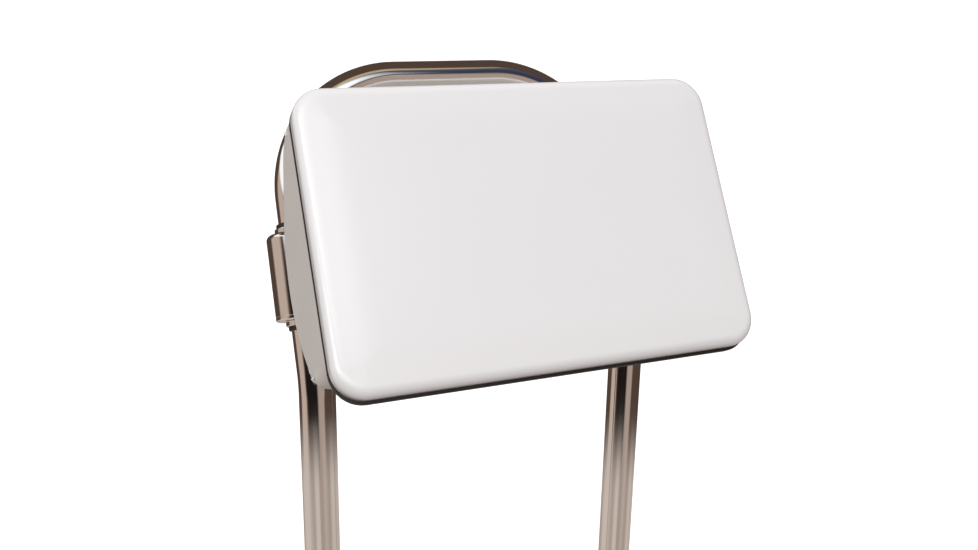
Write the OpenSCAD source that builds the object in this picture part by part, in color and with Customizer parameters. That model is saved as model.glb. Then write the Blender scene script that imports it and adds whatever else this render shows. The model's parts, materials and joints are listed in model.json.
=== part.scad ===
// Retail security gate post: a bent chrome tube bow that stands on two floor
// sockets and carries a sealed electronics head on a sliding, tilting crossbar.
// Millimetres. Floor at z = 0, +Z up, +Y towards the back, X across the legs.

/* [Bow] */
// Outer diameter of the bow tube
tube_d = 40; // [38:0.5:42]
// Wall of the bow tube
tube_wall = 2; // [1.5:0.5:3]
// Distance between the two legs, centre to centre
leg_pitch = 386; // [376:2:400]
// Height of the bend where the legs start to lean back
bend_z = 870; // [600:10:1000]
// How far the upper bow leans back from the vertical, in degrees
lean = 23.4; // [18:0.2:28]
// Centreline radius of the bend in each leg
bend_r = 65; // [60:5:90]
// Length of the leaning part, from the bend to the top tube
upper_len = 335.5; // [320:0.5:360]
// Centreline radius of the two top corners
corner_r = 133; // [110:1:140]
// Distance of the legs behind the middle of the whole gate
leg_y = 27.74; // [20:0.02:40]

/* [Floor socket] */
// Diameter of the floor flange
flange_d = 120; // [110:5:160]
// Thickness of the floor flange
flange_t = 8; // [6:1:12]
// Bolt circle of the floor flange
flange_pcd = 90; // [86:1:96]
// Diameter of each anchor hole
anchor_hole_d = 9; // [7:1:11]
// Height of the socket above the flange
socket_h = 40; // [30:5:60]

/* [Height hubs] */
// Distance of the hubs above the bend, along the lean
hub_v = 116.6; // [110:0.2:125]
// Diameter of the chrome hub sleeve
hub_d = 70; // [66:1:74]
// Length of the chrome hub sleeve
hub_len = 95; // [90:1:100]
// Length of the collar at each end of a sleeve
collar_len = 6; // [4:1:8]
// Length of the liner flange outside each collar
liner_lip = 5; // [3:1:6]

/* [Tilt crossbar] */
// Outer diameter of the crossbar
bar_d = 30; // [28:1:32]
// Distance between the two tilt saddles
saddle_pitch = 180; // [150:10:220]
// Width of each tilt saddle
saddle_w = 34; // [28:2:40]

/* [Head] */
// Tilt of the head from the vertical, in degrees
head_tilt = 29.4; // [25:0.2:32]
// Distance of the shell rim in front of the crossbar
rim_y = 180; // [178:1:184]
// Middle of the head below the crossbar
head_drop = 14; // [10:1:18]
// Width of the rear shell
shell_w = 446; // [440:1:450]
// Height of the rear shell
shell_h = 284; // [280:1:288]
// Corner radius of the head outline
outline_r = 30; // [24:1:36]
// Wall of the rear shell
shell_wall = 3; // [2.5:0.5:4]
// Radius of the rounded back of the shell
back_r = 131; // [128:1:134]
// Depth of the flat top behind the rim
flat_d = 42; // [36:1:48]

/* [Cover] */
// Width of the front cover
cover_w = 452; // [450:1:456]
// Height of the front cover
cover_h = 297; // [295:1:300]
// Depth of the front cover in front of the gasket
cover_d = 20; // [18:1:24]
// Rounding of the cover's front edge
cover_edge = 11; // [8:1:13]
// Thickness of the gasket between shell and cover
gasket_t = 6; // [5:1:8]
// How far the gasket hangs below the cover
gasket_drip = 3; // [1:0.5:5]

/* [Hidden] */
$fn = 96;

// Colours
chrome_colour = "#c9c2bb";
steel_colour = "#9a9a9c";
alloy_colour = "#b9bbbe";
white_colour = "#e8e6e7";
shell_colour = "#d6d1cc";
black_colour = "#1c1b1b";
brass_colour = "#b9964a";
board_colour = "#2f6b46";

// Bow
tube_r = tube_d / 2;
leg_x = leg_pitch / 2;
bend_set = bend_r * tan(lean / 2);
corner_v = upper_len - corner_r;
leg_seat = 6;
joint_len = 12;

// Fits
slip = 0.05;
nest = 0.1;
hole_gap = 0.2;

// Floor socket
socket_r = tube_r + 7;
grub_r = 4;
grub_z = flange_t + socket_h * 0.6;
anchor_count = 4;

// Hubs
hub_r = hub_d / 2;
hub_half = hub_len / 2;
hub_round = 5;
hub_skin = 3;
sleeve_hole_r = tube_r + 2;
core_r = hub_r - hub_skin - nest;
core_bore_r = tube_r + 1.5;
core_top = hub_half - hub_skin - hole_gap;
cap_seat = hub_half - hub_round;
cap_spigot = 4.5;
core_bottom = cap_seat - cap_spigot - hole_gap;
liner_reach = 20;
liner_r = core_bore_r - slip;
lip_r = tube_r + 2.7;
collar_r = 25;
hub_grub_v = 15;
grub_tip = tube_r + 0.4;
grub_len = 10.5;

// Crossbar
bar_r = bar_d / 2;
bar_wall = 2.5;
bar_half = leg_x - 23;

// Saddles
saddle_r = 24;
saddle_web_h = 44;
saddle_screw_v = 38;
saddle_foot_h = 100;
foot_back_y = -42;
foot_gap = 0.2;
cap_screw_v = 20;
cap_ear_h = 54;
cap_ear_t = 12;
m6_r = 3;
m6_head_r = 5;
m6_head_t = 6;
insert_r = 4.5;
insert_len = 12;
boss_r = 9;
boss_front = -86;

// Head outline
head_z = -head_drop;
shell_z = head_z + 5.5;
back_c_z = head_z - 15;
belly_turn = -56.6;
gasket_y = -rim_y;
cover_y = -rim_y - gasket_t;
cover_z = head_z + 0.3;
cover_wall = 4;
gasket_w = cover_w - 0.6;
gasket_h = cover_h + gasket_drip - hole_gap;
gasket_z = cover_z - (gasket_drip + hole_gap) / 2;
gasket_lap = 4;

// Chassis and what it carries
chassis_y = -150;
chassis_t = 2;
chassis_w = 400;
chassis_h = 214;
post_x = 176;
post_z = 92;
post_r = 7;
m4_r = 2;
former_y = chassis_y - chassis_t;
former_w = 384;
former_h = 200;
former_band = 22;
former_t = 5;
board_w = 190;
board_h = 110;
board_t = 1.6;
spacer_h = 8;
spacer_r = 4;

// Cable gland in the shell's back
gland_z = head_z - 66;
gland_r = 8;
gland_seat = -52;
gland_bore_r = 4;

// Hinge on the head's right side
hinge_z = 90;
knuckle_r = 4.5;
knuckle_len = 16;
hinge_x = cover_w / 2 + knuckle_r + 0.4;
hinge_y = -rim_y - gasket_t / 2;
leaf_t = 1.5;
hinge_pin_r = 2;

// Cam lock in the head's underside
lock_y = -166;
lock_r = 9.5;
plug_r = 6.5;
pad_r = 12;
lock_low = shell_z - shell_h / 2;
lock_top = lock_low + 22;
cam_z = lock_top + 0.6;
cam_t = 3;
cam_len = 26;
keeper_x = 20;

// ---------- shared shapes ----------

module ring(outer, inner, h) {
  difference() {
    cylinder(r = outer, h = h);
    translate([0, 0, -1]) cylinder(r = inner, h = h + 2);
  }
}

// Backing ring inside a welded joint of the bow, centred on the joint
module joint_ring() {
  translate([0, 0, -joint_len / 2]) ring(tube_r - tube_wall + 1, tube_r - tube_wall - 1, joint_len);
}

module tube_arc(radius, angle) {
  rotate_extrude(angle = angle) translate([radius, 0]) difference() {
    circle(r = tube_r);
    circle(r = tube_r - tube_wall);
  }
}

// Rod along Y that starts at y0 and ends at y1
module rod_y(r, y0, y1) {
  translate([0, y1, 0]) rotate([90, 0, 0]) cylinder(r = r, h = y1 - y0);
}

// Rod along X that starts at x0 and ends at x1
module rod_x(r, x0, x1) {
  translate([x0, 0, 0]) rotate([0, 90, 0]) cylinder(r = r, h = x1 - x0);
}

module rounded_rect(w, h, r) {
  square([w - 2 * r, h], center = true);
  square([w, h - 2 * r], center = true);
  for (sx = [-1, 1], sz = [-1, 1])
    translate([sx * (w / 2 - r), sz * (h / 2 - r)]) circle(r = r);
}

// Upright slab in the head frame, from its back face at y towards the front
module slab(w, h, r, y, t) {
  translate([0, y, 0]) rotate([90, 0, 0]) linear_extrude(height = t) rounded_rect(w, h, r);
}

module box_at(size, centre) {
  translate(centre) cube(size, center = true);
}

// Frame of the leaning bow: origin at the bend, +Z along the lean
module in_lean() {
  translate([0, leg_y, bend_z]) rotate([-lean, 0, 0]) children();
}

// Frame of one hub, on the leg's axis
module in_hub(side) {
  in_lean() translate([side * leg_x, 0, hub_v]) children();
}

// Frame of the head: origin on the crossbar's axis, -Y out of the cover
module in_head() {
  in_lean() translate([0, 0, hub_v]) rotate([lean - head_tilt, 0, 0]) children();
}

// ---------- bow and floor sockets ----------

module bow_half() {
  translate([leg_x, leg_y, leg_seat])
    ring(tube_r, tube_r - tube_wall, bend_z - bend_set - leg_seat);
  translate([leg_x, leg_y, bend_z - bend_set]) joint_ring();
  translate([leg_x, leg_y + bend_r, bend_z - bend_set])
    rotate([90, 0, -90]) tube_arc(bend_r, lean);
  in_lean() {
    translate([leg_x, 0, bend_set]) {
      ring(tube_r, tube_r - tube_wall, corner_v - bend_set);
      joint_ring();
    }
    translate([leg_x, 0, corner_v]) joint_ring();
    translate([leg_x - corner_r, 0, upper_len]) rotate([0, 90, 0]) joint_ring();
    translate([leg_x - corner_r, 0, corner_v])
      rotate([90, 0, 0]) tube_arc(corner_r, 90);
  }
}

module bow_tube() {
  color(chrome_colour) {
    bow_half();
    mirror([1, 0, 0]) bow_half();
    in_lean() translate([corner_r - leg_x, 0, upper_len]) rotate([0, 90, 0])
      ring(tube_r, tube_r - tube_wall, leg_pitch - 2 * corner_r);
  }
}

module floor_socket(side) {
  color(steel_colour) translate([side * leg_x, leg_y, 0]) difference() {
    union() {
      cylinder(r = flange_d / 2, h = flange_t);
      cylinder(r = socket_r, h = flange_t + socket_h);
    }
    translate([0, 0, leg_seat]) cylinder(r = tube_r + slip, h = flange_t + socket_h);
    for (i = [0 : anchor_count - 1]) rotate([0, 0, 45 + i * 360 / anchor_count])
      translate([flange_pcd / 2, 0, -1]) cylinder(d = anchor_hole_d, h = flange_t + 2);
    for (turn = [45, 135]) rotate([0, 0, turn]) translate([0, 0, grub_z])
      rod_x(grub_r, tube_r - 2, socket_r + 2);
  }
}

module socket_set_screws() {
  color(steel_colour) for (side = [-1, 1], turn = [45, 135])
    translate([side * leg_x, leg_y, grub_z]) rotate([0, 0, turn]) difference() {
      rod_x(grub_r - nest, tube_r + slip, socket_r - 0.5);
      translate([socket_r - 3, 0, 0]) rotate([0, 90, 0]) cylinder(r = 2, h = 4, $fn = 6);
    }
}

// ---------- height hubs ----------

module hub_core(side) {
  color(alloy_colour) in_hub(side) difference() {
    translate([0, 0, -core_bottom]) cylinder(r = core_r, h = core_bottom + core_top);
    translate([0, 0, -hub_half]) cylinder(r = core_bore_r, h = hub_len);
    scale([-side, 1, 1]) rod_x(bar_r + slip, leg_x - bar_half - nest, hub_r);
    for (v = [-hub_grub_v, hub_grub_v]) translate([0, 0, v])
      rod_y(grub_r, core_bore_r - 3, hub_r);
  }
}

module hub_sleeve(side) {
  color(chrome_colour) in_hub(side) difference() {
    rotate_extrude() difference() {
      union() {
        translate([sleeve_hole_r, -cap_seat]) square([hub_r - sleeve_hole_r, 2 * cap_seat]);
        translate([sleeve_hole_r, 0]) square([hub_r - hub_round - sleeve_hole_r, hub_half]);
        translate([hub_r - hub_round, cap_seat]) circle(r = hub_round);
      }
      translate([0, -hub_half]) square([hub_r - hub_skin, hub_len - hub_skin]);
    }
    scale([-side, 1, 1]) rod_x(bar_r + hole_gap, tube_r, hub_r + 1);
    for (v = [-hub_grub_v, hub_grub_v]) translate([0, 0, v])
      rod_y(grub_r + hole_gap, tube_r, hub_r + 1);
  }
}

module hub_end_cap(side) {
  color(chrome_colour) in_hub(side) rotate_extrude() {
    intersection() {
      union() {
        translate([sleeve_hole_r, -hub_half])
          square([hub_r - hub_round - sleeve_hole_r, hub_round]);
        translate([hub_r - hub_round, -cap_seat]) circle(r = hub_round);
      }
      translate([0, -hub_half]) square([hub_r, hub_round]);
    }
    translate([core_r - hub_skin, -cap_seat]) square([hub_skin, cap_spigot]);
  }
}

module hub_collars(side) {
  color(chrome_colour) in_hub(side) for (end = [0, 1]) mirror([0, 0, end])
    translate([0, 0, hub_half]) ring(collar_r, core_bore_r, collar_len);
}

module liner_bushes(side) {
  color(black_colour) in_hub(side) for (end = [0, 1]) mirror([0, 0, end]) difference() {
    union() {
      translate([0, 0, liner_reach])
        cylinder(r = liner_r, h = hub_half + collar_len + liner_lip - liner_reach);
      translate([0, 0, hub_half + collar_len]) cylinder(r = lip_r, h = liner_lip);
    }
    cylinder(r = tube_r + slip, h = hub_len);
  }
}

module hub_set_screws() {
  color(steel_colour) for (side = [-1, 1], v = [-hub_grub_v, hub_grub_v])
    in_hub(side) translate([0, 0, v]) difference() {
      rod_y(grub_r - nest, grub_tip, grub_tip + grub_len);
      translate([0, grub_tip + grub_len + 1, 0]) rotate([90, 0, 0])
        cylinder(r = 2, h = 5, $fn = 6);
    }
}

module tilt_crossbar() {
  color(chrome_colour) in_lean() translate([-bar_half, 0, hub_v]) rotate([0, 90, 0])
    ring(bar_r, bar_r - bar_wall, 2 * bar_half);
}

// ---------- tilt saddles ----------

module in_saddle(side) {
  in_head() translate([side * saddle_pitch / 2, 0, 0]) children();
}

module tilt_saddle(side) {
  color(alloy_colour) in_saddle(side) difference() {
    union() {
      intersection() {
        rod_x(saddle_r, -saddle_w / 2, saddle_w / 2);
        box_at([saddle_w, saddle_r, 2 * saddle_r], [0, -saddle_r / 2, 0]);
      }
      box_at([saddle_w, cap_ear_t, cap_ear_h], [0, -cap_ear_t / 2, 0]);
      box_at([saddle_w, -foot_back_y, saddle_web_h], [0, foot_back_y / 2, 0]);
      box_at([saddle_w, 40, saddle_foot_h], [0, foot_back_y - 20, 0]);
    }
    rod_x(bar_r + slip, -saddle_w, saddle_w);
    translate([0, -rim_y, back_c_z]) rod_x(back_r + foot_gap, -saddle_w, saddle_w);
    for (v = [-cap_screw_v, cap_screw_v]) translate([0, 0, v])
      rod_y(m6_r, -cap_ear_t - 6, 1);
    for (v = [-saddle_screw_v, saddle_screw_v]) translate([0, 0, v])
      rod_y(m6_r + hole_gap, -rim_y, 0);
  }
}

module tilt_cap(side) {
  color(alloy_colour) in_saddle(side) difference() {
    union() {
      intersection() {
        rod_x(saddle_r, -saddle_w / 2, saddle_w / 2);
        box_at([saddle_w, saddle_r, 2 * saddle_r], [0, saddle_r / 2 + nest, 0]);
      }
      box_at([saddle_w, cap_ear_t, cap_ear_h], [0, cap_ear_t / 2 + nest, 0]);
    }
    rod_x(bar_r + slip, -saddle_w, saddle_w);
    for (v = [-cap_screw_v, cap_screw_v]) translate([0, 0, v]) {
      rod_y(m6_r + hole_gap, -1, saddle_r + 1);
      rod_y(m6_head_r + hole_gap, cap_ear_t, saddle_r + 1);
    }
  }
}

// Socket-head screw along Y: under-head face at y, shank towards the front
module m6_screw(y, len) {
  difference() {
    union() {
      rod_y(m6_r - nest, y - len, y);
      rod_y(m6_head_r, y, y + m6_head_t);
    }
    translate([0, y + m6_head_t + 1, 0]) rotate([90, 0, 0])
      cylinder(r = 2.9, h = 4, $fn = 6);
  }
}

module tilt_cap_screws() {
  color(steel_colour) for (side = [-1, 1], v = [-cap_screw_v, cap_screw_v])
    in_saddle(side) translate([0, 0, v]) m6_screw(cap_ear_t + nest, 28);
}

module saddle_screws() {
  color(steel_colour) for (side = [-1, 1], v = [-saddle_screw_v, saddle_screw_v])
    in_saddle(side) translate([0, 0, v]) m6_screw(foot_back_y, 42);
}

module threaded_inserts() {
  color(brass_colour) for (side = [-1, 1], v = [-saddle_screw_v, saddle_screw_v])
    in_saddle(side) translate([0, boss_front + insert_len, v]) rotate([90, 0, 0])
      ring(insert_r, m6_r, insert_len);
}

// ---------- rear shell ----------

// Point where the line from p touches the circle round c, on the side of p away from the rim
function touch(p, c, r, side) =
  let (d = p - c, far = norm(d), turn = atan2(d[1], d[0]) - side * acos(r / far))
  c + r * [cos(turn), sin(turn)];

// Side outline of the shell, in from its outer faces by inset and past the rim by reach.
// Its top is flat behind the rim, and its bottom slopes up to meet the rounded back.
module shell_profile(inset, reach) {
  c = [-rim_y, back_c_z];
  front = -rim_y - reach;
  r = back_r - inset;
  top = shell_z + shell_h / 2 - inset;
  low = shell_z - shell_h / 2 + inset;
  edge = flat_d - rim_y - inset / 2;
  polygon([
    [front, low], c + r * [cos(belly_turn), sin(belly_turn)], c,
    touch([edge, top], c, r, 1), [edge, top], [front, top]
  ]);
  intersection() {
    translate(c) circle(r = r);
    translate([-rim_y, c[1] - r]) square([r, 2 * r]);
  }
}

module shell_solid(inset, reach) {
  intersection() {
    rotate([90, 0, 90]) linear_extrude(height = shell_w, center = true)
      shell_profile(inset, reach);
    translate([0, 0, shell_z])
      slab(shell_w - 2 * inset, shell_h - 2 * inset, outline_r - inset, 0, rim_y + reach);
  }
}

module chassis_posts(r, y0, y1) {
  for (sx = [-1, 1], sz = [-1, 1])
    translate([sx * post_x, 0, head_z + sz * post_z]) rod_y(r, y0, y1);
}

module rear_shell() {
  color(shell_colour) in_head() difference() {
    union() {
      difference() {
        shell_solid(0, 0);
        shell_solid(shell_wall, 1);
      }
      intersection() {
        shell_solid(0, 0);
        union() {
          chassis_posts(post_r, chassis_y, 0);
          for (sx = [-1, 1], v = [-saddle_screw_v, saddle_screw_v])
            translate([sx * saddle_pitch / 2, 0, v]) rod_y(boss_r, boss_front, 0);
        }
      }
      translate([0, lock_y, lock_low]) cylinder(r = pad_r, h = 8);
    }
    chassis_posts(m4_r, chassis_y - 1, chassis_y + 12);
    for (sx = [-1, 1], v = [-saddle_screw_v, saddle_screw_v])
      translate([sx * saddle_pitch / 2, 0, v]) {
        rod_y(m6_r + hole_gap, boss_front - 1, 0);
        rod_y(insert_r, boss_front - 1, boss_front + insert_len);
      }
    translate([0, 0, gland_z]) rod_y(gland_r + hole_gap, -90, 0);
    translate([0, lock_y, lock_low - 1]) cylinder(r = lock_r + hole_gap, h = 10);
  }
}

module gasket() {
  color(black_colour) in_head() difference() {
    translate([0, 0, gasket_z])
      slab(gasket_w, gasket_h, outline_r + 2, gasket_y, gasket_t);
    translate([0, 0, shell_z])
      slab(shell_w - 2 * gasket_lap, shell_h - 2 * gasket_lap, outline_r - gasket_lap,
           gasket_y + 1, gasket_t + 2);
  }
}

// ---------- inside the head ----------

module chassis_plate() {
  color(steel_colour) in_head() difference() {
    translate([0, 0, head_z]) slab(chassis_w, chassis_h, 12, chassis_y, chassis_t);
    chassis_posts(m4_r + hole_gap, chassis_y - chassis_t - 1, chassis_y + 1);
  }
}

module chassis_screws() {
  color(steel_colour) in_head() {
    chassis_posts(m4_r - nest, chassis_y - chassis_t, chassis_y + 10);
    chassis_posts(3.5, chassis_y - chassis_t - 2.4, chassis_y - chassis_t);
  }
}

module antenna_ring(out, w, y, t) {
  difference() {
    slab(former_w + 2 * out, former_h + 2 * out, 20 + out, y, t);
    slab(former_w + 2 * out - 2 * w, former_h + 2 * out - 2 * w, 12, y + 1, t + 2);
  }
}

module antenna_former() {
  color(black_colour) in_head() translate([0, 0, head_z]) difference() {
    antenna_ring(0, former_band, former_y, former_t);
    chassis_cutouts();
  }
}

// Room in the former's corners for the chassis screw heads
module chassis_cutouts() {
  translate([0, 0, -head_z])
    chassis_posts(5, former_y - former_t - 1, former_y + 1);
}

module antenna_winding() {
  color(brass_colour) in_head() translate([0, 0, head_z])
    antenna_ring(-8, 6, former_y - former_t, 6);
}

module board_spots() {
  for (sx = [-1, 1], sz = [-1, 1])
    translate([sx * (board_w / 2 - 8), 0, head_z + sz * (board_h / 2 - 8)]) children();
}

module board_spacers() {
  color(brass_colour) in_head() board_spots()
    rod_y(spacer_r, former_y - spacer_h, former_y);
}

module controller_board() {
  back = former_y - spacer_h;
  front = back - board_t;
  color(board_colour) in_head() translate([0, 0, head_z]) {
    slab(board_w, board_h, 3, back, board_t);
    box_at([24, 3, 24], [-20, front - 1.5, 8]);
    box_at([60, 9, 10], [40, front - 4.5, -44]);
    box_at([36, 12, 14], [-66, front - 6, -42]);
    for (i = [0 : 2]) translate([24 + i * 18, 0, 26]) rod_y(6, front - 12, front);
  }
}

module power_supply() {
  color(steel_colour) in_head() translate([-104, 0, head_z + 44])
    slab(120, 66, 4, chassis_y + 38, 38);
}

module terminal_block() {
  color(black_colour) in_head() difference() {
    box_at([64, 18, 20], [92, chassis_y + 9, head_z - 66]);
    for (i = [0 : 4]) translate([68 + i * 12, 0, head_z - 66])
      rod_y(3, chassis_y + 12, chassis_y + 20);
  }
}

module sounder() {
  color(black_colour) in_head() translate([112, 0, head_z + 44]) difference() {
    rod_y(21, chassis_y, chassis_y + 24);
    rod_y(4, chassis_y + 18, chassis_y + 26);
  }
}

module cable_gland() {
  color(black_colour) in_head() translate([0, 0, gland_z]) difference() {
    union() {
      rod_y(gland_r, -84, gland_seat);
      rod_y(12, gland_seat - nest, gland_seat + 6);
      rod_y(9, gland_seat + 6, gland_seat + 16);
    }
    rod_y(gland_bore_r, -90, 0);
  }
}

module gland_nut() {
  color(black_colour) in_head() translate([0, -72, gland_z]) rotate([90, 0, 0]) difference() {
    cylinder(r = 13, h = 6, $fn = 6);
    translate([0, 0, -1]) cylinder(r = gland_r + nest, h = 8);
  }
}

// ---------- cover hinge ----------

module at_hinges() {
  for (sz = [-1, 1]) in_head() translate([hinge_x, hinge_y, cover_z + sz * hinge_z]) children();
}

module knuckle(z0, z1) {
  translate([0, 0, z0]) ring(knuckle_r, hinge_pin_r + slip, z1 - z0);
}

module hinge_leaves_fixed() {
  reach = hinge_x - shell_w / 2;
  end = 1.5 * knuckle_len;
  color(steel_colour) at_hinges() {
    for (m = [0, 1]) mirror([0, 0, m]) {
      knuckle(knuckle_len / 2 + hole_gap, end);
      difference() {
        box_at([reach, leaf_t, knuckle_len - hole_gap],
               [-reach / 2, knuckle_r - leaf_t / 2, knuckle_len + hole_gap / 2]);
        cylinder(r = hinge_pin_r + slip, h = 2 * end);
      }
    }
    box_at([leaf_t, 30, 2 * end], [leaf_t / 2 - reach, knuckle_r + 15 - leaf_t, 0]);
  }
}

module hinge_pins() {
  color(steel_colour) at_hinges()
    translate([0, 0, -1.5 * knuckle_len]) cylinder(r = hinge_pin_r, h = 3 * knuckle_len);
}

module hinge_leaves_moving() {
  reach = hinge_x - cover_w / 2;
  color(steel_colour) at_hinges() {
    knuckle(-knuckle_len / 2, knuckle_len / 2);
    difference() {
      box_at([reach, leaf_t, knuckle_len], [-reach / 2, leaf_t / 2 - knuckle_r, 0]);
      cylinder(r = hinge_pin_r + slip, h = 2 * knuckle_len, center = true);
    }
    box_at([leaf_t, 8, knuckle_len], [leaf_t / 2 - reach, -knuckle_r - 2.5, 0]);
  }
}

// ---------- cover ----------

// Rounded slab from y0 to y1 whose front edge is stepped down a quarter round
module cover_block(w, h, r, edge, y0, y1) {
  steps = 4;
  for (i = [0 : steps]) {
    turn = 90 * i / steps;
    inset = edge * (1 - cos(turn));
    slab(w - 2 * inset, h - 2 * inset, r - inset, y0, y0 - y1 - edge * (1 - sin(turn)));
  }
}

module front_cover() {
  color(white_colour) in_head() translate([0, 0, cover_z]) difference() {
    cover_block(cover_w, cover_h, outline_r + 2, cover_edge, cover_y, cover_y - cover_d);
    cover_block(cover_w - 2 * cover_wall, cover_h - 2 * cover_wall, outline_r - 1,
                cover_edge - 2, cover_y + 1, cover_y - cover_d + cover_wall);
  }
}

module lock_keeper() {
  front = cover_y - cover_d + cover_wall;
  hook = lock_y + 8;
  color(steel_colour) in_head() translate([keeper_x, 0, cam_z]) {
    box_at([12, hook - front, 2], [0, (hook + front) / 2, cam_t + 2]);
    box_at([12, 2, cam_t + 4], [0, hook - 1, cam_t / 2 + 1]);
    box_at([12, 2, 22], [0, front + 1, cam_t / 2 + 1]);
  }
}

// ---------- cam lock ----------

module lock_barrel() {
  color(chrome_colour) in_head() translate([0, lock_y, 0]) difference() {
    union() {
      translate([0, 0, lock_low - 2.5]) cylinder(r = pad_r, h = 2.5);
      translate([0, 0, lock_low]) cylinder(r = lock_r, h = lock_top - lock_low);
    }
    translate([0, 0, lock_low - 4]) cylinder(r = plug_r + slip, h = 40);
  }
}

module lock_plug() {
  color(steel_colour) in_head() translate([0, lock_y, 0]) difference() {
    union() {
      translate([0, 0, lock_low - 3]) cylinder(r = plug_r, h = cam_z - lock_low + 3 - hole_gap);
      translate([0, 0, cam_z - 1]) cylinder(r = 4, h = 1 + cam_t);
    }
    translate([0, 0, lock_low - 2]) cube([1.6, 7, 4], center = true);
  }
}

module lock_cam() {
  color(steel_colour) in_head() translate([0, lock_y, cam_z]) difference() {
    union() {
      cylinder(r = 7.5, h = cam_t);
      translate([-5, 5 - cam_len, 0]) cube([10, cam_len - 5, cam_t]);
      translate([0, 5 - cam_len, 0]) cylinder(r = 5, h = cam_t);
    }
    translate([0, 0, -1]) cylinder(r = 4 + nest, h = cam_t + 2);
  }
}

module cam_screw() {
  color(steel_colour) in_head() translate([0, lock_y, cam_z + cam_t]) difference() {
    cylinder(r = 6, h = 3);
    translate([0, 0, 1.5]) cylinder(r = 2.9, h = 2, $fn = 6);
  }
}

bow_tube();
floor_socket(-1);  // floor_socket_left
floor_socket(1);  // floor_socket_right
socket_set_screws();
hub_core(-1);  // hub_core_left
hub_core(1);  // hub_core_right
hub_sleeve(-1);  // hub_sleeve_left
hub_sleeve(1);  // hub_sleeve_right
hub_end_cap(-1);  // hub_end_cap_left
hub_end_cap(1);  // hub_end_cap_right
hub_collars(-1);  // hub_collars_left
hub_collars(1);  // hub_collars_right
liner_bushes(-1);  // liner_bushes_left
liner_bushes(1);  // liner_bushes_right
hub_set_screws();
tilt_crossbar();
tilt_saddle(-1);  // tilt_saddle_left
tilt_saddle(1);  // tilt_saddle_right
tilt_cap(-1);  // tilt_cap_left
tilt_cap(1);  // tilt_cap_right
tilt_cap_screws();
saddle_screws();
threaded_inserts();
rear_shell();
gasket();
chassis_plate();
chassis_screws();
antenna_former();
antenna_winding();
controller_board();
board_spacers();
power_supply();
terminal_block();
sounder();
cable_gland();
gland_nut();
hinge_leaves_fixed();
hinge_pins();
lock_barrel();
front_cover();
hinge_leaves_moving();
lock_keeper();
lock_plug();
lock_cam();
cam_screw();
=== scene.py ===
"""Looks of the retail security gate post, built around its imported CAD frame. Metres, +Z up."""

import json
import math

import bmesh
import bpy
from mathutils import Matrix, Vector


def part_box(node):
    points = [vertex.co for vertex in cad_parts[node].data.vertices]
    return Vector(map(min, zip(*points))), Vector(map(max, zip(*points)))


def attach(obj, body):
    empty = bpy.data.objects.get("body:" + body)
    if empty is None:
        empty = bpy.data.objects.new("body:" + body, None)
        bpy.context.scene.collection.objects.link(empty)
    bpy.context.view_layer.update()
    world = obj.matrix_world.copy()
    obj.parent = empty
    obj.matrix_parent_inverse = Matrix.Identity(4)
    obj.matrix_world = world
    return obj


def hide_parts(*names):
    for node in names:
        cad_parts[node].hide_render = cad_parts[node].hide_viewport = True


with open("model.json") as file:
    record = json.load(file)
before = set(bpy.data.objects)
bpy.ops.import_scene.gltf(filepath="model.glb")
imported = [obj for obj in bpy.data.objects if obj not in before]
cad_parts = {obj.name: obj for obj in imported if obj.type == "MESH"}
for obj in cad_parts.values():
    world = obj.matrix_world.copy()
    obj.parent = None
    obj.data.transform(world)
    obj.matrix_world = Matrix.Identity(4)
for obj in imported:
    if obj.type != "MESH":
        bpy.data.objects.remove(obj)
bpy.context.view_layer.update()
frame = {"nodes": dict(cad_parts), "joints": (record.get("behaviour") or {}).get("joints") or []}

MM = 0.001
X_AXIS = Vector((1, 0, 0))
SIDES = {"left": -1, "right": 1}

# ---------- places, from the frame ----------

joints = {joint["name"]: joint for joint in frame["joints"]}
PIVOT = Vector(joints["head_tilt"]["pos_m"])
LEAN_UP = Vector(joints["head_height"]["axis"]).normalized()
HEAD_UP = Vector(joints["cover_swing"]["axis"]).normalized()


def axes(up, origin):
    """Frame with its X across the gate, its Y to the back and its Z along up."""
    back = up.cross(X_AXIS)
    turn = Matrix((X_AXIS, back, up)).transposed().to_4x4()
    return Matrix.Translation(origin) @ turn


HEAD = axes(HEAD_UP, PIVOT)
LEAN = axes(LEAN_UP, PIVOT)


def span(node, place):
    """Lowest and highest corner of a CAD node, in the frame called place."""
    inside = place.inverted()
    points = [inside @ v.co for v in frame["nodes"][node].data.vertices]
    low = Vector(min(p[i] for p in points) for i in range(3))
    high = Vector(max(p[i] for p in points) for i in range(3))
    return low, high


# ---------- shapes ----------


def soften(points, radii, closed, step=math.radians(5)):
    """The line through points, with an arc of its own radius at each corner."""
    out = []
    count = len(points)
    for i, radius in enumerate(radii):
        corner = Vector(points[i])
        if radius <= 0 or (not closed and i in (0, count - 1)):
            out.append(corner)
            continue
        before = Vector(points[i - 1]) - corner
        after = Vector(points[(i + 1) % count]) - corner
        half = before.angle(after) / 2
        reach = min(radius / math.tan(half), before.length * 0.499, after.length * 0.499)
        middle = (before.normalized() + after.normalized()).normalized()
        centre = corner + middle * (reach / math.cos(half))
        start = corner + before.normalized() * reach - centre
        end = corner + after.normalized() * reach - centre
        sweep_angle = start.angle(end)
        steps = max(2, math.ceil(sweep_angle / step))
        for k in range(steps + 1):
            a = math.sin((1 - k / steps) * sweep_angle) / math.sin(sweep_angle)
            b = math.sin(k / steps * sweep_angle) / math.sin(sweep_angle)
            out.append(centre + start * a + end * b)
    return out


def spaced(points, gap):
    """The same open line with its long stretches cut into steps of about gap."""
    out = [Vector(points[0])]
    for a, b in zip(points, points[1:]):
        a, b = Vector(a), Vector(b)
        steps = max(1, round((b - a).length / gap))
        out += [a.lerp(b, k / steps) for k in range(1, steps + 1)]
    return out


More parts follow.
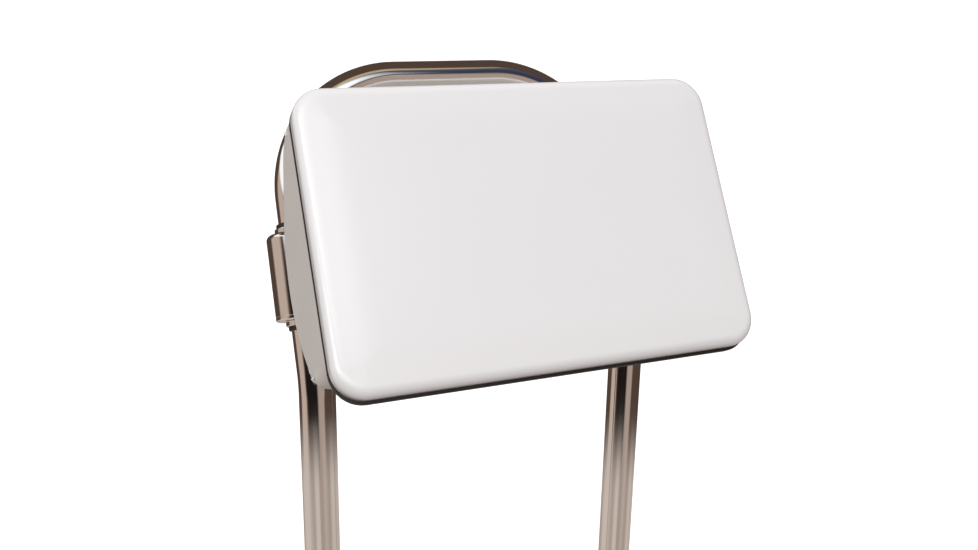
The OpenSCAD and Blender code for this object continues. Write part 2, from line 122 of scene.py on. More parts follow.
def outline(w, h, r, corner=10, side=14):
    """Rounded rectangle as (x, z) points, always the same number of them."""
    arcs = []
    for quarter, (sx, sz) in enumerate(((1, -1), (1, 1), (-1, 1), (-1, -1))):
        cx, cz = sx * (w / 2 - r), sz * (h / 2 - r)
        turns = [(quarter - 1 + k / corner) * math.pi / 2 for k in range(corner + 1)]
        arcs.append([Vector((cx + r * math.cos(t), cz + r * math.sin(t))) for t in turns])
    points = []
    for here, there in zip(arcs, arcs[1:] + arcs[:1]):
        points += here
        points += [here[-1].lerp(there[0], k / side) for k in range(1, side)]
    return points


def loft(rings, wrap=False, caps=False):
    """Vertices and faces of a skin over closed rings of equal length."""
    n = len(rings[0])
    verts = [Vector(p) for ring in rings for p in ring]
    pairs = list(zip(range(len(rings)), range(1, len(rings))))
    if wrap:
        pairs.append((len(rings) - 1, 0))
    faces = [
        (a * n + i, a * n + (i + 1) % n, b * n + (i + 1) % n, b * n + i)
        for a, b in pairs
        for i in range(n)
    ]
    if caps:
        faces.append(tuple(reversed(range(n))))
        faces.append(tuple((len(rings) - 1) * n + i for i in range(n)))
    return verts, faces


def lathe(profile, segments=128):
    """Closed (radius, height) outline turned about Z."""
    rings = []
    for k in range(segments):
        a = 2 * math.pi * k / segments
        rings.append([(p[0] * math.cos(a), p[0] * math.sin(a), p[1]) for p in profile])
    return loft(rings, wrap=True)


def sweep(path, radius, sides=64, closed=False):
    """Round bar along a path, with frames carried along it without twist."""
    count = len(path)
    rings = []
    side = None
    for i, point in enumerate(path):
        before = path[i - 1] if closed or i else point
        after = path[(i + 1) % count] if closed or i < count - 1 else point
        along = (after - before).normalized()
        if side is None:
            side = along.orthogonal().normalized()
        side = (side - along * side.dot(along)).normalized()
        other = along.cross(side)
        turns = [2 * math.pi * k / sides for k in range(sides)]
        rings.append([point + radius * (side * math.cos(t) + other * math.sin(t)) for t in turns])
    return loft(rings, wrap=closed, caps=not closed)


def joined(parts):
    """One vertex list and one face list from several."""
    verts, faces = [], []
    for part_verts, part_faces in parts:
        base = len(verts)
        verts += part_verts
        faces += [tuple(base + i for i in face) for face in part_faces]
    return verts, faces


def block(low, high, bevel):
    """Box with softened edges between two corners."""
    bm = bmesh.new()
    size = Vector(high) - Vector(low)
    middle = (Vector(high) + Vector(low)) / 2
    place = Matrix.Translation(middle) @ Matrix.Diagonal((*size, 1))
    bmesh.ops.create_cube(bm, size=1, matrix=place)
    bmesh.ops.bevel(
        bm, geom=bm.edges[:], offset=bevel, segments=2, profile=0.5, affect="EDGES"
    )
    bm.verts.index_update()
    verts = [v.co.copy() for v in bm.verts]
    faces = [tuple(v.index for v in f.verts) for f in bm.faces]
    bm.free()
    return verts, faces


def rod(centre, axis, radius, length, bevel, segments=32):
    """Round rod with softened ends, from centre along axis."""
    profile = soften([(0, 0), (radius, 0), (radius, length), (0, length)],
                     [0, bevel, bevel, 0], False)[1:-1]
    turn = Vector(axis).to_track_quat("Z", "Y").to_matrix().to_4x4()
    place = Matrix.Translation(centre) @ turn
    rings = [
        [place @ Vector((p[0] * math.cos(a), p[0] * math.sin(a), p[1]))
         for a in [2 * math.pi * k / segments for k in range(segments)]]
        for p in profile
    ]
    return loft(rings, caps=True)


def smooth(mesh, angle=35):
    mesh.shade_smooth()
    mesh.set_sharp_from_angle(angle=math.radians(angle))


def make(name, shape, place, finishes):
    """New object from a shape, in the frame called place."""
    verts, faces = shape
    mesh = bpy.data.meshes.new(name)
    mesh.from_pydata([place @ v for v in verts], [], faces)
    bm = bmesh.new()
    bm.from_mesh(mesh)
    bmesh.ops.recalc_face_normals(bm, faces=bm.faces)
    bm.to_mesh(mesh)
    bm.free()
    smooth(mesh)
    for finish in finishes:
        mesh.materials.append(finish)
    piece = bpy.data.objects.new(name, mesh)
    bpy.context.collection.objects.link(piece)
    return piece


def weigh_normals(piece):
    modifier = piece.modifiers.new("normals", "WEIGHTED_NORMAL")
    modifier.keep_sharp = True


def stand_for(piece, body, slot, *nodes):
    """piece rides on body and is shown in place of the CAD nodes."""
    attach(piece, body)
    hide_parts(*nodes)


# ---------- materials ----------


class Painter:
    """Short way to add and link shader nodes."""

    def __init__(self, tree):
        self.tree = tree
        tree.nodes.clear()

    def add(self, kind, settings=None, **inputs):
        node = self.tree.nodes.new("ShaderNode" + kind)
        for key, value in (settings or {}).items():
            setattr(node, key, value)
        for key, value in inputs.items():
            self.put(node.inputs[key.replace("_", " ")], value)
        return node

    def put(self, socket, value):
        if isinstance(value, bpy.types.NodeSocket):
            self.tree.links.new(value, socket)
        elif isinstance(value, tuple) and len(value) == 3 and socket.type == "RGBA":
            socket.default_value = (*value, 1)
        else:
            socket.default_value = value

    def maths(self, operation, a, b=0.0):
        node = self.add("Math", {"operation": operation})
        self.put(node.inputs[0], a)
        self.put(node.inputs[1], b)
        return node.outputs[0]

    def dot(self, a, b):
        node = self.add("VectorMath", {"operation": "DOT_PRODUCT"})
        self.put(node.inputs[0], a)
        self.put(node.inputs[1], b)
        return node.outputs["Value"]

    def remap(self, value, low, high, to_low=0.0, to_high=1.0):
        node = self.add("MapRange", {"interpolation_type": "SMOOTHSTEP"})
        for key, number in (("Value", value), ("From Min", low), ("From Max", high),
                            ("To Min", to_low), ("To Max", to_high)):
            self.put(node.inputs[key], number)
        return node.outputs[0]

    def mix(self, factor, a, b):
        node = self.add("Mix", {"data_type": "RGBA"})
        self.put(node.inputs[0], factor)
        self.put(node.inputs[6], a)
        self.put(node.inputs[7], b)
        return node.outputs[2]

    def noise(self, place, scale, detail=3.0):
        return self.add("TexNoise", Vector=place, Scale=scale, Detail=detail).outputs["Fac"]


def toned(colour, gain):
    return tuple(min(1.0, c * gain) for c in colour)


def finish(name, colour, rough, metal=0.0, grain=900.0, relief=0.05, mottle=0.04,
           wear=None, stretch=(1, 1, 1), coat=0.0, smudge=0.25):
    """Material with mottled colour, grain in its relief, smudged gloss, wear on its edges and
    painted shade in its hollows.
    """
    mat = bpy.data.materials.new(name)
    mat.use_nodes = True
    p = Painter(mat.node_tree)
    place = p.add("TexCoord").outputs["Object"]
    drawn = p.add("Mapping", Vector=place, Scale=stretch).outputs[0]
    patches = p.noise(place, 16.0, 4.0)
    fine = p.noise(drawn, grain)
    tone = p.mix(patches, toned(colour, 1 - mottle), toned(colour, 1 + mottle))
    # Curvature drives both the edge wear and the painted shade in concave hollows.
    wear_and_shade_curvature = p.add("NewGeometry").outputs["Pointiness"]
    edge = p.remap(wear_and_shade_curvature, 0.53, 0.62, 0.0, 0.6)
    tone = p.mix(edge, tone, wear or toned(colour, 1.12))
    # Painted shade: concave hollows are darkened towards 55% of the colour, standing in for the
    # shade that falls there.
    painted_hollow_shade = p.remap(wear_and_shade_curvature, 0.38, 0.48, 0.45, 0.0)
    tone = p.mix(painted_hollow_shade, tone, toned(colour, 0.55))
    gloss = p.maths("ADD", p.maths("MULTIPLY", patches, smudge), p.maths("MULTIPLY", fine, 0.3))
    gloss = p.remap(gloss, 0.05, 0.5, rough * 0.75, rough * 1.3)
    bump = p.add("Bump", Strength=relief, Distance=0.3 * MM, Height=fine).outputs[0]
    shader = p.add("BsdfPrincipled", Metallic=metal, Roughness=gloss, Normal=bump)
    p.put(shader.inputs["Base Color"], tone)
    shader.inputs["Coat Weight"].default_value = coat
    shader.inputs["Coat Roughness"].default_value = 0.08
    out = p.add("OutputMaterial")
    p.put(out.inputs["Surface"], shader.outputs[0])
    return mat


CHROME = finish("polished_chrome", (0.86, 0.84, 0.825), 0.055, 1.0, grain=260, relief=0.006,
                mottle=0.015, smudge=0.5)
STEEL = finish("satin_steel", (0.62, 0.61, 0.60), 0.30, 1.0, grain=1400, relief=0.05,
               mottle=0.06, stretch=(1, 1, 0.06))
SCREW = finish("zinc_screw_steel", (0.55, 0.55, 0.56), 0.26, 1.0, grain=1800, relief=0.04,
               mottle=0.08, wear=(0.75, 0.75, 0.74))
ALLOY = finish("cast_alloy", (0.60, 0.61, 0.62), 0.42, 1.0, grain=1500, relief=0.22,
               mottle=0.06, wear=(0.78, 0.78, 0.78))
BLACK = finish("black_nylon", (0.020, 0.019, 0.019), 0.38, grain=2200, relief=0.10,
               mottle=0.15, wear=(0.06, 0.06, 0.06))
RUBBER = finish("black_seal_rubber", (0.014, 0.012, 0.011), 0.50, grain=1600, relief=0.16,
                mottle=0.20, wear=(0.045, 0.042, 0.04))
SHELL = finish("moulded_shell", (0.80, 0.765, 0.73), 0.34, grain=2600, relief=0.045,
               mottle=0.018, coat=0.12)
COVER = finish("gloss_cover", (0.79, 0.775, 0.785), 0.15, grain=120, relief=0.008,
               mottle=0.006, coat=0.25, smudge=0.4)
BRASS = finish("turned_brass", (0.78, 0.58, 0.25), 0.25, 1.0, grain=1800, relief=0.06,
               mottle=0.07, wear=(0.9, 0.75, 0.45))
COPPER = finish("enamelled_copper", (0.50, 0.19, 0.07), 0.28, 0.85, grain=900, relief=0.03,
                mottle=0.12)
BOARD = finish("green_circuit_board", (0.03, 0.17, 0.075), 0.36, grain=420, relief=0.25,
               mottle=0.25, wear=(0.25, 0.22, 0.12))
CHIP = finish("black_epoxy", (0.025, 0.025, 0.027), 0.55, grain=2400, relief=0.12, mottle=0.12)
TIN = finish("bright_tin", (0.72, 0.72, 0.70), 0.24, 1.0, grain=2000, relief=0.05, mottle=0.06)
CREAM = finish("cream_nylon", (0.70, 0.66, 0.55), 0.42, grain=1800, relief=0.06, mottle=0.04)
ZINC = finish("zinc_plated_sheet", (0.60, 0.60, 0.58), 0.33, 1.0, grain=60, relief=0.03,
              mottle=0.12, wear=(0.75, 0.75, 0.73))

# ---------- bow ----------

TUBE_R = 20 * MM
BEND_R = 65 * MM
CORNER_R = 133 * MM
UPPER_LEN = 335.5 * MM

socket_low, socket_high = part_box("floor_socket_left")
leg_x = abs(socket_low[0] + socket_high[0]) / 2
leg_y = (socket_low[1] + socket_high[1]) / 2
bend = PIVOT - LEAN_UP * ((PIVOT.y - leg_y) / LEAN_UP.y)


def across(point, side):
    return Vector((side * leg_x, point.y, point.z))


def bow():
    foot = Vector((0, leg_y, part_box("bow_tube")[0][2]))
    top = bend + LEAN_UP * UPPER_LEN
    corners = [across(foot, -1), across(bend, -1), across(top, -1),
               across(top, 1), across(bend, 1), across(foot, 1)]
    path = soften(corners, [0, BEND_R, CORNER_R, CORNER_R, BEND_R, 0], False,
                  step=math.radians(2))
    path = spaced(path, 30 * MM)
    piece = make("bow", sweep(path, TUBE_R, sides=72), Matrix(), [CHROME])
    stand_for(piece, "frame", "chrome", "bow_tube")


# ---------- hubs ----------

HUB_R = 35 * MM
HUB_HALF = 47.5 * MM
CAP_H = 5 * MM
SLEEVE_HOLE_R = 22 * MM
COLLAR_R = 25 * MM
COLLAR_LEN = 6 * MM
LIP_R = 22.7 * MM
LIP_LEN = 5 * MM
SEAM = 0.35 * MM
SCREW_HOLE_R = 4.2 * MM
SCREW_V = 15 * MM
SLEEVE_ROUND = 6 * MM
CAP_ROUND = 4.6 * MM
COLLAR_ROUND = 1.2 * MM
LIP_ROUND = 1.6 * MM
BORE_ROUND = 0.5 * MM
LINER_SEAT = 2 * MM
LINER_GAP = 0.05 * MM


def ring_shape(outer, inner, low, high, round_top, round_low):
    profile = soften([(outer, low), (outer, high), (inner, high), (inner, low)],
                     [round_low, round_top, BORE_ROUND, BORE_ROUND], True,
                     step=math.radians(9))
    return lathe(profile)


def carve(piece, cutter):
    """Cuts the cutter's shape out of the piece, then drops the cutter."""
    modifier = piece.modifiers.new("cut", "BOOLEAN")
    modifier.object = cutter
    modifier.solver = "EXACT"
    view = bpy.context.evaluated_depsgraph_get()
    mesh = bpy.data.meshes.new_from_object(piece.evaluated_get(view))
    piece.modifiers.remove(modifier)
    piece.data = mesh
    bpy.data.objects.remove(cutter)
    smooth(mesh)


def hub(name, side):
    place = LEAN @ Matrix.Translation((side * leg_x, 0, 0))
    shape = ring_shape(HUB_R, SLEEVE_HOLE_R, CAP_H - HUB_HALF, HUB_HALF,
                       SLEEVE_ROUND, SEAM)
    sleeve = make("sleeve_" + name, shape, place, [CHROME])
    holes = [rod((0, TUBE_R + 4 * MM, v), (0, 1, 0), SCREW_HOLE_R, HUB_R, 0.1 * MM)
             for v in (-SCREW_V, SCREW_V)]
    carve(sleeve, make("cutter", joined(holes), place, []))
    weigh_normals(sleeve)
    stand_for(sleeve, "carriage", "chrome", "hub_sleeve_" + name)

    shape = ring_shape(HUB_R, SLEEVE_HOLE_R, -HUB_HALF, CAP_H - HUB_HALF,
                       SEAM, CAP_ROUND)
    cap = make("end_cap_" + name, shape, place, [CHROME])
    stand_for(cap, "carriage", "chrome", "hub_end_cap_" + name)

    ends = [sorted((end * HUB_HALF, end * (HUB_HALF + COLLAR_LEN))) for end in (-1, 1)]
    rings = [ring_shape(COLLAR_R, LIP_R, low, high, COLLAR_ROUND, COLLAR_ROUND)
             for low, high in ends]
    collars = make("collars_" + name, joined(rings), place, [CHROME])
    stand_for(collars, "carriage", "chrome", "hub_collars_" + name)

    seat = HUB_HALF + COLLAR_LEN
    ends = [sorted((end * (seat - LINER_SEAT), end * (seat + LIP_LEN))) for end in (-1, 1)]
    rings = [ring_shape(LIP_R, TUBE_R + LINER_GAP, low, high, LIP_ROUND, LIP_ROUND)
             for low, high in ends]
    liners = make("liners_" + name, joined(rings), place, [RUBBER])
    stand_for(liners, "carriage", "black_plastic", "liner_bushes_" + name)


# ---------- rear shell ----------

SHELL_WALL = 3 * MM
RIM_ROUND = 30 * MM
BACK_ROUND = 13 * MM
FLAT_D = 42 * MM
BACK_R = 131 * MM
KNEE_R = 24 * MM
BELLY_R = 8 * MM
RIM_KEEP = 35 * MM
RIM_FADE = 50 * MM
BACK_Z = -29 * MM
BELLY_TURN = math.radians(-56.6)


def touch(point, centre):
    """Turn at which the line from point touches the shell's round back."""
    away = Vector(point) - Vector(centre)
    return math.atan2(away[1], away[0]) - math.acos(BACK_R / away.length)


def shell_profile(low, high):
    """Side outline of the shell, from the rim's top round the back to its bottom, as (y, z)."""
    centre = (low.y, BACK_Z)
    knee_y = low.y + FLAT_D
    start = touch((knee_y, high.z), centre)
    steps = 40
    turns = [start + (BELLY_TURN - start) * k / steps for k in range(steps + 1)]
    back = [(centre[0] + BACK_R * math.cos(t), centre[1] + BACK_R * math.sin(t))
            for t in turns]
    line = [(low.y, high.z), (knee_y, high.z), *back, (low.y, low.z)]
    radii = [0, KNEE_R] + [0] * (len(back) - 1) + [BELLY_R, 0]
    return spaced(soften(line, radii, False, step=math.radians(4)), 6 * MM)


def eased(t):
    t = min(1.0, max(0.0, t))
    return t * t * (3 - 2 * t)


def rear_shell():
    low, high = span("rear_shell", HEAD)
    line = shell_profile(low, high)
    count = len(line)
    far = [0.0]
    for a, b in zip(line, line[1:]):
        far.append(far[-1] + (b - a).length)
    curl = [math.pi / 2 * k / 8 for k in range(9)]
    rows = []
    for i, point in enumerate(line):
        along = (line[min(i + 1, count - 1)] - line[max(i - 1, 0)]).normalized()
        inward = Vector((along.y, -along.x))
        if i in (0, count - 1):
            inward = Vector((0, -1 if i == 0 else 1))
        rim = min(far[i], far[-1] - far[i])
        r = RIM_ROUND + (BACK_ROUND - RIM_ROUND) * eased((rim - RIM_KEEP) / RIM_FADE)
        row = []
        for sign, order in ((-1, reversed(curl)), (1, curl)):
            for turn in order:
                inset = point + inward * (r * (1 - math.cos(turn)))
                x = sign * (high.x - r + r * math.sin(turn))
                row.append(Vector((x, inset.x, inset.y)))
        half = len(row) // 2
        middle = [row[half - 1].lerp(row[half], k / 12) for k in range(1, 12)]
        rows.append(row[:half] + middle + row[half:])
    width = len(rows[0])
    verts = [v for row in rows for v in row]
    faces = [
        (j * width + i, j * width + i + 1, (j + 1) * width + i + 1, (j + 1) * width + i)
        for j in range(count - 1)
        for i in range(width - 1)
    ]
    faces.append(tuple(j * width for j in range(count)))
    faces.append(tuple(j * width + width - 1 for j in reversed(range(count))))
    piece = make("shell", (verts, faces), HEAD, [SHELL])
    back = max(piece.data.polygons, key=lambda f: (HEAD.inverted() @ f.center).y)
    if back.normal.dot(HEAD.to_3x3() @ Vector((0, 1, 0))) < 0:
        piece.data.flip_normals()
    wall = piece.modifiers.new("wall", "SOLIDIFY")
    wall.thickness = SHELL_WALL
    wall.offset = -1
    weigh_normals(piece)
    stand_for(piece, "head", "shell_plastic", "rear_shell")


# ---------- gasket and cover ----------

COVER_CORNER = 32 * MM
SEAL_WRAP = 1.2 * MM
SEAL_EDGE = 1.2 * MM
SEAL_LAP = 4 * MM


def head_ring(low, high, r, inset, y):
    """Rounded rectangle round a node's low and high corners, drawn in by inset, at depth y."""
    middle = (low + high) / 2
    w, h = high.x - low.x - 2 * inset, high.z - low.z - 2 * inset
    return [Vector((middle.x + p.x, y, middle.z + p.y))
            for p in outline(w, h, max(r - inset, 2 * MM))]


def gasket():
    low, high = span("gasket", HEAD)
    shell_low, shell_high = span("rear_shell", HEAD)
    front, back = low.y - SEAL_WRAP, high.y + SEAL_WRAP
    curl = [(SEAL_EDGE * (1 - math.sin(t)), SEAL_EDGE * (1 - math.cos(t)))
            for t in [math.pi / 2 * k / 5 for k in range(6)]]
    outer = [(inset, front + depth) for inset, depth in curl]
    outer += [(inset, back - depth) for inset, depth in reversed(curl)]
    rings = [head_ring(low, high, COVER_CORNER, inset, y) for inset, y in outer]
    rings += [head_ring(shell_low, shell_high, RIM_ROUND, inset, y)
              for inset, y in ((0, back), (0, high.y), (SEAL_LAP, high.y), (SEAL_LAP, front))]
    piece = make("seal", loft(rings, wrap=True), HEAD, [RUBBER])
    stand_for(piece, "head", "seal_rubber", "gasket")


COVER_EDGE = 11 * MM
COVER_WALL = 4 * MM
COVER_LIP = 0.8 * MM
CROWN = 1.9 * MM
CROWN_REACH = 42 * MM


def crown_fall(inset, edge, crown):
    """How far the face lies behind its middle at this distance in from the side."""
    fall = crown * (1 - eased(inset / CROWN_REACH))
    if inset < edge:
        fall += (edge - crown) * (1 - math.sqrt(max(0.0, 1 - (1 - inset / edge) ** 2)))
    return fall


def face_insets(edge):
    steps = 10
    curl = [edge * (1 - math.cos(math.pi / 2 * k / steps)) for k in range(steps + 1)]
    return curl + [edge + d * MM for d in (3, 7, 12, 18, 25, 33, 42, 52, 70, 95, 120)]


def front_cover():
    low, high = span("front_cover", HEAD)
    outer = [(d, low.y + crown_fall(d, COVER_EDGE, CROWN)) for d in face_insets(COVER_EDGE)]
    outer.reverse()
    back = high.y - SEAL_WRAP
    outer += [(0, back - COVER_LIP), (COVER_LIP / 3, back - COVER_LIP / 3), (COVER_LIP, back)]
    inner_edge = COVER_EDGE - 3 * MM
    inner = [(COVER_WALL - COVER_LIP, back), (COVER_WALL, back - COVER_LIP)]
    inner += [(COVER_WALL + d, low.y + COVER_WALL + crown_fall(d, inner_edge, CROWN * 0.8))
              for d in face_insets(inner_edge)]
    rings = [head_ring(low, high, COVER_CORNER, d, y) for d, y in outer + inner]
    piece = make("cover", loft(rings, caps=True), HEAD, [COVER])
    weigh_normals(piece)
    stand_for(piece, "cover", "cover_plastic", "front_cover")


# ---------- aerial and board ----------

WIRE_R = 0.55 * MM
WIRE_LAYERS = 5
WIRE_PITCH = 1.18 * MM
WIRE_CORNER = 12 * MM
TIE_DEPTH = 6.4 * MM
TIE_BAND = 7 * MM
TIE_W = 2 * MM
TIE_INSET = 3 * MM


def winding():
    low, high = span("antenna_winding", HEAD)
    middle = (low + high) / 2
    wires = []
    for layer in range(WIRE_LAYERS):
        for row in range(WIRE_LAYERS):
            inset = WIRE_R + WIRE_PITCH * layer
            y = high.y - WIRE_R - WIRE_PITCH * row
            path = head_ring(low, high, WIRE_CORNER, inset, y)
            wires.append(sweep(path, WIRE_R, sides=8, closed=True))
    piece = make("aerial_wires", joined(wires), HEAD, [COPPER])
    stand_for(piece, "head", "brass", "antenna_winding")
    ties = []
    for sx, sz in ((-0.5, 1), (0.5, 1), (-0.5, -1), (0.5, -1), (-1, 0), (1, 0)):
        x = middle.x + sx * (high.x - low.x) / 2
        z = middle.z + sz * (high.z - low.z) / 2
        dx, dz = (TIE_W, TIE_BAND) if sz else (TIE_BAND, TIE_W)
        if sz:
            z -= math.copysign(TIE_INSET, sz)
        else:
            x -= math.copysign(TIE_INSET, sx)
        ties.append(block((x - dx / 2, high.y - TIE_DEPTH, z - dz / 2),
                          (x + dx / 2, high.y - 0.05 * MM, z + dz / 2), 0.4 * MM))
    ties = make("aerial_ties", joined(ties), HEAD, [BLACK])
    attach(ties, "head")


def paint_range(piece, start, index):
    for face in piece.data.polygons[start:]:
        face.material_index = index


BOARD_T = 1.6 * MM
CAN_R = 6 * MM
CAN_H = 11.7 * MM


def controller():
    low, high = span("controller_board", HEAD)
    middle = (low + high) / 2
    front = high.y - BOARD_T
    plate = [block((low.x, front, low.z), (high.x, high.y, high.z), 0.3 * MM)]
    chips, tins, creams = [], [], []

    def spot(x, z):
        return middle.x + x * MM, middle.z + z * MM

    def chip(x, z, w, h, t, pins):
        cx, cz = spot(x, z)
        w, h, t = w * MM, h * MM, t * MM
        chips.append(block((cx - w / 2, front - t, cz - h / 2),
                           (cx + w / 2, front - 0.2 * MM, cz + h / 2), 0.3 * MM))
        for k in range(pins):
            px = cx - w / 2 + w * (k + 0.5) / pins
            for s in (-1, 1):
                pz = cz + s * (h / 2 + 0.8 * MM)
                tins.append(block((px - 0.3 * MM, front - 0.7 * MM, pz - 0.9 * MM),
                                  (px + 0.3 * MM, front, pz + 0.9 * MM), 0.1 * MM))

    chip(-20, 8, 24, 24, 3, 14)
    chip(-62, 10, 14, 9, 2, 7)
    chip(-62, 28, 10, 6, 1.6, 4)
    chip(14, 0, 9, 6, 1.6, 4)
    chip(70, 4, 16, 10, 3, 5)
    for k in range(9):
        chip(-40 + 7 * k, -14, 3, 1.6, 0.8, 1)
        chip(-46 + 9 * k, -24, 2.4, 1.4, 0.8, 1)
    for k in range(3):
        x, z = spot(24 + 18 * k, 26)
        chips.append(rod((x, front, z), (0, -1, 0), CAN_R, CAN_H, 0.6 * MM))
        tins.append(rod((x, front - CAN_H, z), (0, -1, 0), CAN_R - 1 * MM, 0.3 * MM, 0.1 * MM))
    for x, z, w, h, t, ways in ((40, -44, 60, 10, 9, 12), (-66, -42, 36, 14, 12, 5)):
        cx, cz = spot(x, z)
        creams.append(block((cx - w * MM / 2, front - t * MM, cz - h * MM / 2),
                            (cx + w * MM / 2, front, cz + h * MM / 2), 0.5 * MM))
        for k in range(ways):
            px = cx + (k + 0.5 - ways / 2) * w * MM / ways
            tins.append(rod((px, front - t * MM + 0.3 * MM, cz), (0, -1, 0), 1.3 * MM,
                            0.5 * MM, 0.1 * MM, 16))
    for sx in (-1, 1):
        for sz in (-1, 1):
            x, z = spot(sx * 87, sz * 47)
            tins.append(rod((x, front, z), (0, -1, 0), 3 * MM, 2 * MM, 0.4 * MM, 24))

    groups = [plate, chips, tins, creams]
    shapes = [joined(group) for group in groups]
    piece = make("controller", joined(shapes), HEAD, [BOARD, CHIP, TIN, CREAM])
    start = 0
    for index, shape in enumerate(shapes):
        paint_range(piece, start, index)
        start += len(shape[1])
    stand_for(piece, "head", "board", "controller_board")


# ---------- carried-over CAD nodes ----------


def dress(node, finish_of_node, bevel):
    """Gives a CAD node its material and soft edges."""
    shown = frame["nodes"][node]
    shown.data.materials.clear()
    shown.data.materials.append(finish_of_node)
    weld = shown.modifiers.new("weld", "WELD")
    weld.merge_threshold = 0.002 * MM
    soft = shown.modifiers.new("soft_edges", "BEVEL")
    soft.width = bevel * MM
    soft.segments = 2
    soft.limit_method = "ANGLE"
    soft.angle_limit = math.radians(32)
    soft.harden_normals = False
    weigh_normals(shown)


CAD_LOOKS = {
    "floor_socket_left": (STEEL, 0.8), "floor_socket_right": (STEEL, 0.8),
    "socket_set_screws": (SCREW, 0.2), "hub_set_screws": (SCREW, 0.2),
    "hub_core_left": (ALLOY, 0.3), "hub_core_right": (ALLOY, 0.3),
    "tilt_crossbar": (CHROME, 0.3),
    "tilt_saddle_left": (ALLOY, 0.8), "tilt_saddle_right": (ALLOY, 0.8),
    "tilt_cap_left": (ALLOY, 0.8), "tilt_cap_right": (ALLOY, 0.8),
    "tilt_cap_screws": (SCREW, 0.4), "saddle_screws": (SCREW, 0.4),
    "threaded_inserts": (BRASS, 0.2), "chassis_plate": (ZINC, 0.4),
    "chassis_screws": (SCREW, 0.4), "antenna_former": (BLACK, 0.6),
    "board_spacers": (BRASS, 0.3), "power_supply": (ZINC, 0.8),
    "terminal_block": (BLACK, 0.5), "sounder": (BLACK, 0.8),
    "cable_gland": (BLACK, 0.8), "gland_nut": (BLACK, 0.5),
    "hinge_leaves_fixed": (STEEL, 0.3), "hinge_leaves_moving": (STEEL, 0.3),
    "hinge_pins": (SCREW, 0.3), "lock_barrel": (CHROME, 0.5), "lock_plug": (STEEL, 0.3),
    "lock_cam": (SCREW, 0.3), "cam_screw": (SCREW, 0.3), "lock_keeper": (SCREW, 0.3),
}

# ---------- stage ----------


FLOOR_HALF = 400.0
FLOOR_GLOW = 0.25


def floor():
    """Pale floor that the camera sees and that no other ray meets."""
    size = FLOOR_HALF
    mesh = bpy.data.meshes.new("floor")
    mesh.from_pydata([(-size, -size, 0), (size, -size, 0), (size, size, 0), (-size, size, 0)],
                     [], [(0, 1, 2, 3)])
    ground = bpy.data.objects.new("floor", mesh)
    bpy.context.collection.objects.link(ground)
    pale = finish("pale_floor", (1.0, 1.0, 1.0), 0.9, grain=40, relief=0.0, mottle=0.004)
    shader = next(n for n in pale.node_tree.nodes if n.type == "BSDF_PRINCIPLED")
    shader.inputs["Emission Color"].default_value = (1, 1, 1, 1)
    shader.inputs["Emission Strength"].default_value = FLOOR_GLOW
    mesh.materials.append(pale)
    ground.visible_glossy = False
    ground.visible_diffuse = False


def grey(level):
    return (level, level, level)


TO_CAMERA = (-0.40, -0.917, 0.0)
TO_RIGHT = (0.917, -0.40, 0.0)
GLOW_WAY = Vector((-0.29, -0.722, 0.623)).normalized()
KEY_WAY = Vector((-0.62, -0.56, 0.54)).normalized()
BEIGE_DIM = (0.42, 0.34, 0.29)
BEIGE_LIT = (0.62, 0.55, 0.50)
BROWN = (0.085, 0.055, 0.042)
SIDE_WALL = (0.54, 0.43, 0.36)
NEAR_DARK = (0.012, 0.009, 0.008)
NEAR_WALL = (0.42, 0.33, 0.28)
DEEP_BLUE = (0.035, 0.045, 0.075)
CEILING_BLUE = (0.06, 0.075, 0.115)
AMBER = (0.52, 0.40, 0.25)
FILL_UNDER = (0.07, 0.055, 0.05)
FILL_LOW = (0.30, 0.25, 0.225)


def glossy_room(p, way, up, front, right):
    """The room that polished parts reflect, painted by direction."""

    def both(a, b):
        return p.maths("MULTIPLY", a, b)

    drift = p.noise(p.add("Mapping", Vector=way, Scale=(1, 1, 0.3)).outputs[0], 1.3, 1.0)
    beige = p.mix(p.remap(drift, 0.36, 0.62), BEIGE_DIM, BEIGE_LIT)
    leftward = p.remap(right, -0.30, -0.50)
    lit = both(p.remap(front, -0.30, -0.12), p.remap(front, 0.55, 0.38))
    wall = p.mix(both(lit, leftward), BROWN, SIDE_WALL)
    facing = p.mix(p.remap(right, 0.12, 0.32), NEAR_DARK, NEAR_WALL)
    wall = p.mix(p.remap(front, 0.50, 0.64), wall, facing)
    room = p.mix(p.remap(up, -0.47, -0.40), beige, wall)
    window = both(p.remap(up, 0.24, 0.34), p.remap(front, -0.45, -0.30))
    room = p.mix(both(window, leftward), room, grey(1.1))
    ahead = p.remap(front, -0.08, 0.0)
    room = p.mix(both(p.remap(up, 0.52, 0.60), ahead), room, DEEP_BLUE)
    ceiling = p.mix(p.remap(right, 0.02, 0.22), grey(1.05), CEILING_BLUE)
    room = p.mix(both(p.remap(up, 0.70, 0.76), ahead), room, ceiling)
    amber = both(p.remap(front, 0.30, 0.24), p.remap(up, 0.80, 0.9))
    room = p.mix(both(amber, p.remap(right, 0.66, 0.46)), room, AMBER)
    behind = both(p.remap(front, 0.10, 0.03), p.remap(up, 0.5, 0.7))
    room = p.mix(behind, room, BROWN)
    room = p.mix(p.remap(p.dot(way, GLOW_WAY), 0.78, 0.98), room, grey(3.2))
    room = p.mix(p.remap(p.dot(way, KEY_WAY), 0.93, 0.985), room, grey(5.5))
    line = both(p.remap(up, 0.50, 0.54), p.remap(up, 0.61, 0.57))
    return p.mix(both(line, ahead), room, DEEP_BLUE)


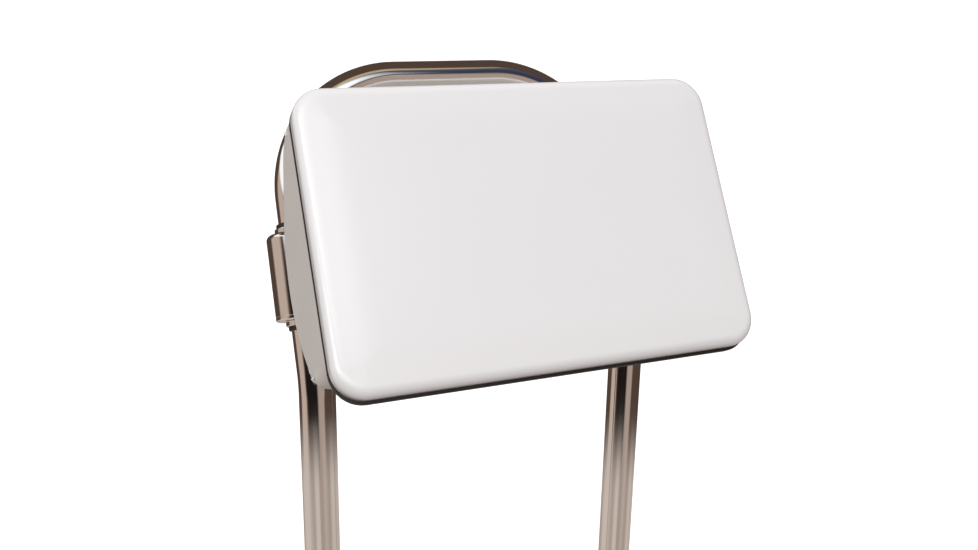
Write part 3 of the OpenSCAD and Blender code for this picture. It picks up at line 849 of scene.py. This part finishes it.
def studio():
    """Soft studio round the object: white for the camera, a lit room for gloss, soft for fill."""
    world = bpy.data.worlds.new("studio")
    bpy.context.scene.world = world
    world.use_nodes = True
    p = Painter(world.node_tree)
    way = p.add("TexCoord").outputs["Generated"]
    up = p.add("SeparateXYZ", Vector=way).outputs["Z"]
    front = p.dot(way, TO_CAMERA)
    right = p.dot(way, TO_RIGHT)
    room = glossy_room(p, way, up, front, right)

    fill = p.mix(p.remap(up, -0.95, -0.30), FILL_UNDER, FILL_LOW)
    fill = p.mix(p.remap(up, -0.35, 0.55), fill, grey(1.0))
    brighter = p.maths("MULTIPLY", p.remap(front, 0.2, 1.0), p.remap(up, -0.1, 0.3))
    fill = p.mix(brighter, fill, grey(1.18))
    rays = p.add("LightPath")
    colour = p.mix(rays.outputs["Is Glossy Ray"], fill, room)
    colour = p.mix(rays.outputs["Is Camera Ray"], colour, grey(1.05))
    sky = p.add("Background", Color=colour, Strength=1.0)
    out = p.add("OutputWorld")
    p.put(out.inputs["Surface"], sky.outputs[0])


KEY_PLACE = (-1.6, -2.2, 3.0)
KEY_SIZE = 1.6
KEY_POWER = 28


def lamp(name, place, aim, size, power):
    light = bpy.data.lights.new(name, "AREA")
    light.shape = "DISK"
    light.size = size
    light.energy = power
    holder = bpy.data.objects.new(name, light)
    holder.location = place
    holder.rotation_euler = (Vector(aim) - Vector(place)).to_track_quat("-Z", "Y").to_euler()
    holder.visible_glossy = False
    bpy.context.collection.objects.link(holder)


CAMERA_YAW, CAMERA_PITCH, CAMERA_ROLL = 0.411, 0.287, -0.018
CAMERA_FROM_BEND = Vector((-0.4339, -1.0138, 0.4271))
CAMERA_LENS = 37.54
SENSOR_W = 36


def camera():
    """Camera at the viewing angle of the photograph, placed from the bend in the legs."""
    level = math.cos(CAMERA_PITCH)
    ahead = Vector((math.sin(CAMERA_YAW) * level, math.cos(CAMERA_YAW) * level,
                    -math.sin(CAMERA_PITCH)))
    right = Vector((math.cos(CAMERA_YAW), -math.sin(CAMERA_YAW), 0))
    down = ahead.cross(right)
    right, down = (math.cos(CAMERA_ROLL) * right + math.sin(CAMERA_ROLL) * down,
                   math.cos(CAMERA_ROLL) * down - math.sin(CAMERA_ROLL) * right)
    data = bpy.data.cameras.new("camera")
    data.sensor_width = SENSOR_W
    data.lens = CAMERA_LENS
    view = bpy.data.objects.new("camera", data)
    turn = Matrix((right, -down, -ahead)).transposed().to_4x4()
    spot = Vector((0, leg_y, bend.z)) + CAMERA_FROM_BEND
    view.matrix_world = Matrix.Translation(spot) @ turn
    bpy.context.collection.objects.link(view)
    bpy.context.scene.camera = view


# ---------- scene ----------

camera()
bow()
for hub_name, hub_side in SIDES.items():
    hub(hub_name, hub_side)
rear_shell()
gasket()
front_cover()
winding()
controller()
for cad_node, (look, edge_width) in CAD_LOOKS.items():
    dress(cad_node, look, edge_width)
floor()
studio()
lamp("key", KEY_PLACE, PIVOT, KEY_SIZE, KEY_POWER)
bpy.context.scene.view_settings.view_transform = "Standard"
